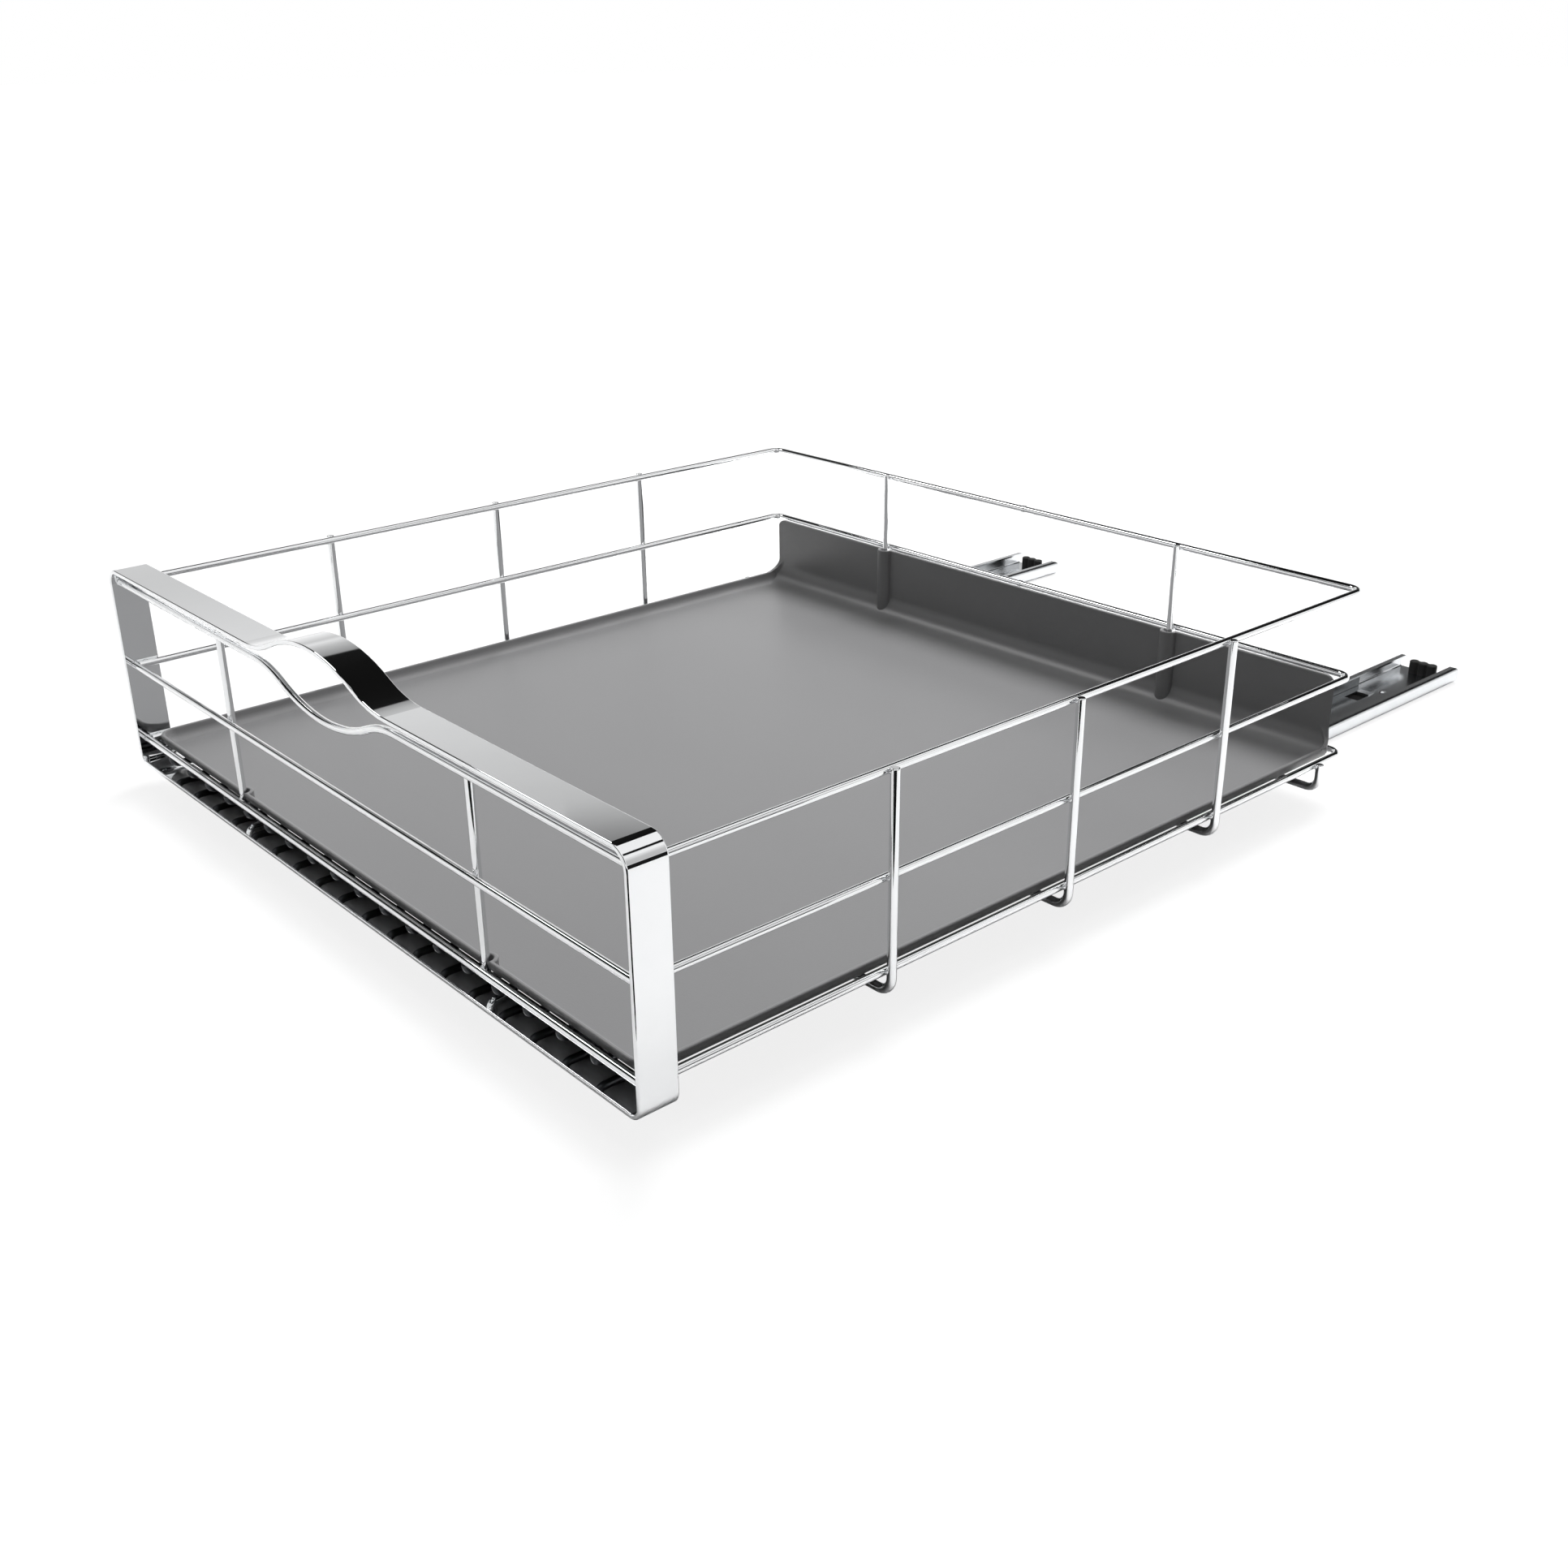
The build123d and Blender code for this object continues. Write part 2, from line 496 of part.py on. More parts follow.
def bumper():
    """Rubber stop with lobes across the rail's rear end."""
    pitch, low = BUMPER_WIDTH / BUMPER_LOBES, OUTER_STEEL
    face = Pos(0, BUMPER_PLACE) * Rectangle(BUMPER_WIDTH - pitch, BUMPER_NECK)
    for i in range(BUMPER_LOBES):
        face += Pos(pitch * (i - (BUMPER_LOBES - 1) / 2), BUMPER_PLACE) * Circle(pitch / 2)
    body = extrude(Pos(0, 0, low) * face, BUMPER_TOP - low)
    return chamfer(at_height(body, BUMPER_TOP), BUMPER_CHAMFER)


def carrier():
    """Plate on the inner member whose rear end is hooked over the latch wire."""
    middle = (CARRIER_BOTTOM + CARRIER_TOP) / 2
    lip = LATCH_WIRE_HEIGHT + CROSS_RADIUS + HOOK_CLEARANCE + CARRIER_STEEL / 2
    path = FilletPolyline((CARRIER_FRONT, middle), (HOOK_PLACE, middle), (HOOK_PLACE, lip),
                          (HOOK_PLACE - HOOK_LIP, lip), radius=CARRIER_STEEL)
    body = extrude(Plane.YZ * trace(path, CARRIER_STEEL), CARRIER_WIDTH / 2, both=True)
    return body - clamp_screw_holes(SLIDE_SPACING / 2)


def clamp_screw_places():
    """Places of the clamp screws along the basket."""
    return [place + turn * CLAMP_SCREW_SPREAD
            for place in CROSS_WIRE_PLACES.values() for turn in (-1, 1)]


def clamp_screw_holes(centre):
    """Shanks of all clamp screws of one side with their clearance, for cutting."""
    x = SADDLE_X - centre
    hole = Cylinder(CLAMP_SCREW_RADIUS + SCREW_FIT, 4 * CARRIER_WIDTH)
    return Compound([Pos(x, place, 0) * hole for place in clamp_screw_places()])


def saddles():
    """Blocks between the carrier and the cross wires, each with a half-round seat."""
    height = CROSS_WIRE_HEIGHT - CARRIER_TOP
    block = Pos(0, 0, CARRIER_TOP + height / 2) * Box(SADDLE_WIDTH, SADDLE_LENGTH, height)
    block = chamfer(block.edges().filter_by(Axis.Z), SADDLE_CHAMFER)
    block -= Pos(0, 0, CROSS_WIRE_HEIGHT) * Rot(0, 90, 0) * Cylinder(CROSS_RADIUS, 2 * SADDLE_WIDTH)
    for turn in (-1, 1):
        block -= Pos(0, turn * CLAMP_SCREW_SPREAD, 0) * Cylinder(CLAMP_SCREW_RADIUS + SCREW_FIT, 2 * SADDLE_LENGTH)
    return Compound([Pos(0, place, 0) * block for place in CROSS_WIRE_PLACES.values()])


def clamps():
    """Straps over the cross wires, one per saddle."""
    bore = CROSS_RADIUS + CLAMP_FIT
    low = CROSS_WIRE_HEIGHT
    strap = Pos(0, 0, low + CLAMP_STEEL / 2) * Box(SADDLE_WIDTH, SADDLE_LENGTH, CLAMP_STEEL)
    strap = chamfer(strap.edges().filter_by(Axis.Z), SADDLE_CHAMFER)
    strap += Pos(0, 0, low) * Rot(0, 90, 0) * Cylinder(bore + CLAMP_STEEL, SADDLE_WIDTH)
    strap -= Pos(0, 0, low) * Rot(0, 90, 0) * Cylinder(bore, 2 * SADDLE_WIDTH)
    strap -= Pos(0, 0, low - SADDLE_LENGTH / 2) * Box(2 * SADDLE_WIDTH, 2 * SADDLE_LENGTH, SADDLE_LENGTH)
    for turn in (-1, 1):
        strap -= Pos(0, turn * CLAMP_SCREW_SPREAD, 0) * Cylinder(CLAMP_SCREW_RADIUS + SCREW_FIT, 2 * SADDLE_LENGTH)
    return Compound([Pos(0, place, 0) * strap for place in CROSS_WIRE_PLACES.values()])


def clamp_screws():
    """Pan-head screws through clamps and saddles into the carrier, with a cross drive."""
    seat = CROSS_WIRE_HEIGHT + CLAMP_STEEL
    length = seat - CARRIER_BOTTOM
    head = Pos(0, 0, seat + CLAMP_HEAD_HEIGHT / 2) * Cylinder(CLAMP_HEAD_RADIUS, CLAMP_HEAD_HEIGHT)
    head = fillet(at_height(head, seat + CLAMP_HEAD_HEIGHT), CLAMP_HEAD_HEIGHT / 3)
    for turn in (0, 90):
        slot = Box(1.2 * CLAMP_HEAD_RADIUS, DRIVE_WIDTH, 2 * DRIVE_DEPTH)
        head -= Pos(0, 0, seat + CLAMP_HEAD_HEIGHT) * Rot(0, 0, turn) * slot
    screw = head + Pos(0, 0, seat - length / 2) * Cylinder(CLAMP_SCREW_RADIUS, length)
    return Compound([Pos(0, place, 0) * screw for place in clamp_screw_places()])


def basket_parts():
    """Everything in the basket's own frame that is not doubled left and right."""
    parts = {
        "front_frame": front_frame(),
        "front_top_wire": front_top_wire(),
        "front_middle_wire": front_wire(MIDDLE_RAIL_HEIGHT),
        "front_bottom_wire": front_wire(BOTTOM_RAIL_HEIGHT),
        "top_rail": rail(TOP_RAIL_HEIGHT, True),
        "middle_rail": rail(MIDDLE_RAIL_HEIGHT, True),
        "bottom_rail": rail(BOTTOM_RAIL_HEIGHT, False),
        "rear_latch_wire": u_wire(LATCH_WIRE_PLACE, BOTTOM_RAIL_HEIGHT + RAIL_RADIUS,
                                  LATCH_WIRE_HEIGHT, LATCH_WIRE_BEND),
        "floor_wires": floor_wires(),
        "tray": tray(),
    }
    for name, place in CROSS_WIRE_PLACES.items():
        parts["cross_wire_" + name] = u_wire(place, WIRE_TOP, CROSS_WIRE_HEIGHT, CROSS_WIRE_BEND)
    for name, side in SIDES.items():
        parts["lengthwise_wire_" + name] = lengthwise_wire(side)
        parts["carrier_" + name] = Pos(side * SLIDE_SPACING / 2, 0, 0) * carrier_for(side)
        for label, shape in (("saddles", saddles()), ("clamps", clamps()), ("screws", clamp_screws())):
            parts[label + "_" + name] = Pos(side * SADDLE_X, 0, 0) * shape
    return parts


def carrier_for(side):
    """Carrier whose screw holes lie under the clamps of the given side."""
    return carrier() if side > 0 else mirror(carrier(), Plane.YZ)


def slide_parts():
    """Slide pieces of both sides with their shares of the basket's pull."""
    parts = {}
    outer, middle, inner, stop = outer_rail(), middle_member(), inner_member(), bumper()
    outer_cage = cage(OUTER_BALL_X, OUTER_STEEL + CAGE_WEB_GAP, OUTER_CAGE_LENGTH, OUTER_CAGE_FRONT)
    inner_cage = cage(INNER_BALL_X, MIDDLE_WEB_TOP + CAGE_WEB_GAP, INNER_CAGE_LENGTH, INNER_CAGE_FRONT)
    for name, side in SIDES.items():
        for label, shape, share in (
            ("outer_rail", rail_details(outer, side), 0),
            ("bumper", stop, 0),
            ("middle_member", middle, MIDDLE_SHARE),
            ("inner_member", inner, 1),
            ("outer_cage", outer_cage, OUTER_CAGE_SHARE),
            ("inner_cage", inner_cage, INNER_CAGE_SHARE),
            ("outer_balls", balls(OUTER_BALL_X), OUTER_CAGE_SHARE),
            ("inner_balls", balls(INNER_BALL_X), INNER_CAGE_SHARE),
        ):
            parts[label + "_" + name] = Pos(side * SLIDE_SPACING / 2, -share * REST_PULL, 0) * shape
    return parts


def main():
    os.makedirs("parts", exist_ok=True)
    for name, shape in basket_parts().items():
        export_step(Pos(0, BASKET_PLACE, BASKET_LIFT) * shape, f"parts/{name}.step")
    for name, shape in slide_parts().items():
        export_step(shape, f"parts/{name}.step")


if __name__ == "__main__":
    main()
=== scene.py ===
"""Dresses the pull-out cabinet organizer: a chromed wire basket with a moulded tray on two ball slides.

Each sub-assembly is a class that knows its sizes in millimetres, builds the small pieces that the
frame doesn't carry and gives every piece its finish. The camera and the studio stand apart from them,
with their sizes in metres.
"""

import logging
import math
from dataclasses import dataclass
from enum import Enum

import bmesh
import bpy
from mathutils import Matrix, Vector


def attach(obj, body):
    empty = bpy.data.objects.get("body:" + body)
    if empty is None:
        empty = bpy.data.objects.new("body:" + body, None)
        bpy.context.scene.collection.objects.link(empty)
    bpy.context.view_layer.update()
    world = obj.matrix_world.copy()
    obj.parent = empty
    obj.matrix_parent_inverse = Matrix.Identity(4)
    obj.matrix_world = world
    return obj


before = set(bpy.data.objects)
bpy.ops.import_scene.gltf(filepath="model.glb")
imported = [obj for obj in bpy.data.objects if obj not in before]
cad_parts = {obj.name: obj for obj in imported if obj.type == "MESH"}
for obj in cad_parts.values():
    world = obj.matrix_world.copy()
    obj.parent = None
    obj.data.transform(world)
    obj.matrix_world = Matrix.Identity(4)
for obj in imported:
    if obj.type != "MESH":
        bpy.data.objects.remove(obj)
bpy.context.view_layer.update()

MM = 0.001
# The Mix node's sockets go by number, because several of them share a name.
MIX_SHARE, MIX_A, MIX_B, MIX_COLOUR_A, MIX_COLOUR_B = 0, 2, 3, 6, 7
MIX_COLOUR = 2
log = logging.getLogger("organizer")


class Side(Enum):
    """The two sides that the slides are made for."""

    LEFT = "left"
    RIGHT = "right"


class Axis(Enum):
    """The directions that one wire can lie from another where they are welded."""

    X = 0
    Y = 1
    Z = 2


class Slot(Enum):
    """The record's material slots that the new pieces take their finish from."""

    CHROME = "chrome"
    TRAY = "tray_plastic"


def linear(hex_colour: str) -> tuple[float, float, float, float]:
    """Turns an sRGB colour into the linear one that shaders take.

    Args:
        hex_colour: The colour as "#RRGGBB".

    Returns:
        Red, green, blue and an alpha of 1.
    """
    parts = [int(hex_colour[i : i + 2], 16) / 255 for i in (1, 3, 5)]
    return tuple(p / 12.92 if p <= 0.04045 else ((p + 0.055) / 1.055) ** 2.4 for p in parts) + (1.0,)


def per_metre(size_mm: float) -> float:
    """The scale of a pattern on Object coordinates whose repeat is that many millimetres."""
    return 1.0 / (size_mm * MM)


def blank_tree(owner: bpy.types.Material | bpy.types.World) -> bpy.types.NodeTree:
    """Gives a material or the world a node tree with nothing in it yet.

    Args:
        owner: The material or the world.

    Returns:
        The tree.
    """
    owner.use_nodes = True
    owner.node_tree.nodes.clear()
    return owner.node_tree


def add_node(
    tree: bpy.types.NodeTree,
    kind: str,
    settings: dict[str, object] | None = None,
    values: dict[str | int, object] | None = None,
    links: dict[str | int, bpy.types.NodeSocket] | None = None,
) -> bpy.types.Node:
    """Adds one node with its settings, its input values and what is joined to it.

    Args:
        tree: The node tree.
        kind: The node's type.
        settings: The node's own properties by name.
        values: Values of inputs, by the input's name or number.
        links: Output sockets of other nodes, by the name or number of the input that they go to.

    Returns:
        The node.
    """
    node = tree.nodes.new(kind)
    for name, value in (settings or {}).items():
        setattr(node, name, value)
    for name, value in (values or {}).items():
        node.inputs[name].default_value = value
    for name, socket in (links or {}).items():
        tree.links.new(socket, node.inputs[name])
    return node


@dataclass(frozen=True)
class Finish:
    """A surface finish: what the material is, and the numbers its shader starts from."""

    name: str
    colour: str
    colour_worn: str
    metallic: float
    roughness: float
    roughness_spread: float
    bump_mm: float

    def pattern(self, tree: bpy.types.NodeTree) -> tuple[bpy.types.NodeSocket, bpy.types.NodeSocket]:
        """The finish's own pattern.

        Args:
            tree: The material's node tree.

        Returns:
            A factor for colour and roughness, and a height for the bump.
        """
        raise NotImplementedError

    def material(self) -> bpy.types.Material:
        """Builds the material once, and gives the same one after that.

        Returns:
            The material.
        """
        known = bpy.data.materials.get(self.name)
        if known:
            return known
        made = bpy.data.materials.new(self.name)
        tree = blank_tree(made)
        shade, height = self.pattern(tree)
        colour = add_node(
            tree,
            "ShaderNodeMix",
            {"data_type": "RGBA"},
            {MIX_COLOUR_A: linear(self.colour), MIX_COLOUR_B: linear(self.colour_worn)},
            {MIX_SHARE: shade},
        )
        rough = add_node(
            tree,
            "ShaderNodeMapRange",
            {},
            {"To Min": self.roughness, "To Max": self.roughness + self.roughness_spread},
            {"Value": shade},
        )
        bump = add_node(
            tree,
            "ShaderNodeBump",
            {},
            {"Strength": 1.0, "Distance": self.bump_mm * MM},
            {"Height": height},
        )
        shader = add_node(
            tree,
            "ShaderNodeBsdfPrincipled",
            {},
            {"Metallic": self.metallic},
            {
                "Base Color": colour.outputs[MIX_COLOUR],
                "Roughness": rough.outputs[0],
                "Normal": bump.outputs[0],
            },
        )
        add_node(tree, "ShaderNodeOutputMaterial", {}, {}, {"Surface": shader.outputs[0]})
        return made


@dataclass(frozen=True)
class ChromePlate(Finish):
    """Bright nickel and chrome plate on mild steel, buffed before plating.

    It gives the eye a mirror with a slow waviness, where the bath has levelled the polishing marks,
    and a trace of haze where the brightener ran thin.
    """

    wave_mm: float = 22.0
    haze_mm: float = 38.0

    def pattern(self, tree: bpy.types.NodeTree) -> tuple[bpy.types.NodeSocket, bpy.types.NodeSocket]:
        """A cloud for the haze and a slow wave for the bump.

        Args:
            tree: The material's node tree.

        Returns:
            The haze and the wave.
        """
        at = add_node(tree, "ShaderNodeTexCoord")
        wave = add_node(
            tree,
            "ShaderNodeTexNoise",
            {},
            {"Scale": per_metre(self.wave_mm), "Detail": 1.0, "Roughness": 0.4},
            {"Vector": at.outputs["Object"]},
        )
        haze = add_node(
            tree,
            "ShaderNodeTexNoise",
            {},
            {"Scale": per_metre(self.haze_mm), "Detail": 4.0, "Roughness": 0.6},
            {"Vector": at.outputs["Object"]},
        )
        return haze.outputs["Fac"], wave.outputs["Fac"]


@dataclass(frozen=True)
class MouldedTray(Finish):
    """Injection-moulded ABS with a spark-eroded texture.

    It gives the eye an even dull grey with a fine dry grain that brightens at a low angle, and faint
    clouding where the melt flowed from the gate to the rim.
    """

    # The real grain is about 0.15 mm, too fine to show here: drawn at 0.9 mm so that it just shows.
    grain_mm: float = 0.9
    grain_share: float = 0.35
    cloud_mm: float = 90.0
    cloud_stretch: tuple[float, float, float] = (0.35, 1.0, 1.0)

    def pattern(self, tree: bpy.types.NodeTree) -> tuple[bpy.types.NodeSocket, bpy.types.NodeSocket]:
        """Grain and clouding mixed for the shade, and the dry grain for the bump.

        Args:
            tree: The material's node tree.

        Returns:
            The mix and the grain.
        """
        at = add_node(tree, "ShaderNodeTexCoord")
        grain = add_node(
            tree,
            "ShaderNodeTexNoise",
            {},
            {"Scale": per_metre(self.grain_mm), "Detail": 3.0, "Roughness": 0.7},
            {"Vector": at.outputs["Object"]},
        )
        flow = add_node(
            tree,
            "ShaderNodeMapping",
            {},
            {"Scale": self.cloud_stretch},
            {"Vector": at.outputs["Object"]},
        )
        cloud = add_node(
            tree,
            "ShaderNodeTexNoise",
            {},
            {"Scale": per_metre(self.cloud_mm), "Detail": 2.0},
            {"Vector": flow.outputs[0]},
        )
        shade = add_node(
            tree,
            "ShaderNodeMix",
            {"data_type": "FLOAT"},
            {MIX_SHARE: self.grain_share},
            {MIX_A: cloud.outputs["Fac"], MIX_B: grain.outputs["Fac"]},
        )
        return shade.outputs[0], grain.outputs["Fac"]


@dataclass(frozen=True)
class RolledZinc(Finish):
    """Cold-rolled steel strip, roll-formed and bright zinc plated.

    It gives the eye a cool silver sheen drawn out along the rail by the rolls, with a faint spangle.
    """

    line_mm: float = 0.8
    line_stretch: tuple[float, float, float] = (1.0, 0.02, 1.0)
    spangle_mm: float = 5.0
    spangle_share: float = 0.4

    def pattern(self, tree: bpy.types.NodeTree) -> tuple[bpy.types.NodeSocket, bpy.types.NodeSocket]:
        """Spangle and lines mixed for the shade, and the rolling lines along the rail for the bump.

        Args:
            tree: The material's node tree.

        Returns:
            The mix and the lines.
        """
        at = add_node(tree, "ShaderNodeTexCoord")
        drawn = add_node(
            tree,
            "ShaderNodeMapping",
            {},
            {"Scale": self.line_stretch},
            {"Vector": at.outputs["Object"]},
        )
        lines = add_node(
            tree,
            "ShaderNodeTexNoise",
            {},
            {"Scale": per_metre(self.line_mm), "Detail": 3.0, "Roughness": 0.6},
            {"Vector": drawn.outputs[0]},
        )
        spangle = add_node(
            tree,
            "ShaderNodeTexVoronoi",
            {"feature": "SMOOTH_F1"},
            {"Scale": per_metre(self.spangle_mm), "Smoothness": 0.6},
            {"Vector": at.outputs["Object"]},
        )
        shade = add_node(
            tree,
            "ShaderNodeMix",
            {"data_type": "FLOAT"},
            {MIX_SHARE: self.spangle_share},
            {MIX_A: lines.outputs["Fac"], MIX_B: spangle.outputs["Distance"]},
        )
        return shade.outputs[0], lines.outputs["Fac"]


@dataclass(frozen=True)
class GroundBall(Finish):
    """Through-hardened chrome steel, ground and lapped.

    It gives the eye a bright point of a ball under a thin film of grease.
    """

    film_mm: float = 1.2

    def pattern(self, tree: bpy.types.NodeTree) -> tuple[bpy.types.NodeSocket, bpy.types.NodeSocket]:
        """One soft cloud, the grease film, for the shade and for the bump.

        Args:
            tree: The material's node tree.

        Returns:
            The film, twice.
        """
        at = add_node(tree, "ShaderNodeTexCoord")
        film = add_node(
            tree,
            "ShaderNodeTexNoise",
            {},
            {"Scale": per_metre(self.film_mm), "Detail": 2.0},
            {"Vector": at.outputs["Object"]},
        )
        return film.outputs["Fac"], film.outputs["Fac"]


@dataclass(frozen=True)
class MouldedBlack(Finish):
    """A black moulding: glass-filled nylon for the saddles, soft rubber for the bumpers.

    It gives the eye a dull black, dusted grey on its high places, with the mould's fine pitting.
    """

    # The real pitting is about 0.2 mm, too fine to show here: drawn at pit_mm so that it shows.
    pit_mm: float = 0.7
    dust_mm: float = 9.0
    dust_share: float = 0.5

    def pattern(self, tree: bpy.types.NodeTree) -> tuple[bpy.types.NodeSocket, bpy.types.NodeSocket]:
        """Pitting with a slow dusting for the shade, and pitting for the bump.

        Args:
            tree: The material's node tree.

        Returns:
            The mix and the pitting.
        """
        at = add_node(tree, "ShaderNodeTexCoord")
        pits = add_node(
            tree,
            "ShaderNodeTexNoise",
            {},
            {"Scale": per_metre(self.pit_mm), "Detail": 4.0, "Roughness": 0.7},
            {"Vector": at.outputs["Object"]},
        )
        dust = add_node(
            tree,
            "ShaderNodeTexNoise",
            {},
            {"Scale": per_metre(self.dust_mm), "Detail": 2.0},
            {"Vector": at.outputs["Object"]},
        )
        shade = add_node(
            tree,
            "ShaderNodeMix",
            {"data_type": "FLOAT"},
            {MIX_SHARE: self.dust_share},
            {MIX_A: pits.outputs["Fac"], MIX_B: dust.outputs["Fac"]},
        )
        return shade.outputs[0], pits.outputs["Fac"]


STRIP_CHROME = ChromePlate(
    "buffed_chrome_plate",
    "#F0F1F2",
    "#E9EAEB",
    metallic=1.0,
    roughness=0.03,
    roughness_spread=0.03,
    bump_mm=0.012,
)
WIRE_CHROME = ChromePlate(
    "drawn_wire_chrome_plate",
    "#EEEFF0",
    "#E6E7E8",
    metallic=1.0,
    roughness=0.04,
    roughness_spread=0.03,
    bump_mm=0.003,
    wave_mm=60.0,
)
WELD_CHROME = ChromePlate(
    "chrome_plate_on_weld",
    "#E2E3E5",
    "#C8CACC",
    metallic=1.0,
    roughness=0.06,
    roughness_spread=0.06,
    bump_mm=0.02,
    wave_mm=3.0,
    haze_mm=8.0,
)
# Chrome for the floor wires and their welds, painted dark grey and dull: painted shade where the tray
# shades them from above.
UNDERFLOOR_SHADE_CHROME = ChromePlate(
    "chrome_plate_with_painted_shade_under_floor",
    "#4E4F51",
    "#404143",
    metallic=1.0,
    roughness=0.26,
    roughness_spread=0.1,
    bump_mm=0.01,
    wave_mm=9.0,
    haze_mm=20.0,
)
TRAY_ABS = MouldedTray(
    "spark_textured_abs",
    "#7A7A7B",
    "#828283",
    metallic=0.0,
    roughness=0.34,
    roughness_spread=0.06,
    bump_mm=0.05,
)
ZINC = RolledZinc(
    "bright_zinc_on_rolled_steel",
    "#D5D7D9",
    "#CACCCE",
    metallic=1.0,
    roughness=0.17,
    roughness_spread=0.05,
    bump_mm=0.0012,
)
CAGE_STRIP = RolledZinc(
    "pressed_steel_strip",
    "#8D9092",
    "#75787A",
    metallic=1.0,
    roughness=0.3,
    roughness_spread=0.16,
    bump_mm=0.0012,
    line_mm=0.6,
    spangle_mm=3.0,
)
BALL_STEEL = GroundBall(
    "lapped_ball_steel",
    "#C9CBCD",
    "#B4B6B8",
    metallic=1.0,
    roughness=0.08,
    roughness_spread=0.1,
    bump_mm=0.004,
)
SADDLE_NYLON = MouldedBlack(
    "black_glass_filled_nylon",
    "#202021",
    "#2B2B2C",
    metallic=0.0,
    roughness=0.5,
    roughness_spread=0.14,
    bump_mm=0.03,
)
BUMPER_RUBBER = MouldedBlack(
    "black_moulded_rubber",
    "#141414",
    "#252525",
    metallic=0.0,
    roughness=0.62,
    roughness_spread=0.2,
    bump_mm=0.06,
    pit_mm=0.9,
)


def dress(node: str, finish: Finish) -> None:
    """Gives a carried-over node its finish.

    Args:
        node: The node's name.
        finish: The finish.
    """
    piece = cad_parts[node]
    piece.data.materials.clear()
    piece.data.materials.append(finish.material())
    log.info("%s: %s", node, finish.name)


def new_piece(
    name: str, bm: bmesh.types.BMesh, body: str, finish: Finish
) -> bpy.types.Object:
    """Turns a finished bmesh into a smooth piece that rides on a body.

    Args:
        name: The piece's name.
        bm: The bmesh, in metres in the frame that all pieces share; it is freed.
        body: The body that the piece moves with.
        finish: Its finish.

    Returns:
        The piece's object, at the origin.
    """
    mesh = bpy.data.meshes.new(name)
    for face in bm.faces:
        face.smooth = True
    bm.to_mesh(mesh)
    bm.free()
    mesh.materials.append(finish.material())
    piece = bpy.data.objects.new(name, mesh)
    bpy.context.scene.collection.objects.link(piece)
    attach(piece, body)
    log.info("%s: %d faces, %s", name, len(mesh.polygons), finish.name)
    return piece


@dataclass(frozen=True)
class Weld:
    """One welded spot between two wires, or between a wire and the frame, in millimetres."""

    x: float
    y: float
    z: float
    across: Axis
    half_length: float = 1.75
    half_height: float = 0.95


@dataclass
class FrontFrame:
    """The bent bar round the front, with its handle arch, and the three wires across it."""

    bar: str = "front_frame"
    wires: tuple[str, ...] = ("front_top_wire", "front_middle_wire", "front_bottom_wire")

    def build(self) -> None:
        """Dresses the bar and the front wires."""
        dress(self.bar, STRIP_CHROME)
        for wire in self.wires:
            dress(wire, WIRE_CHROME)


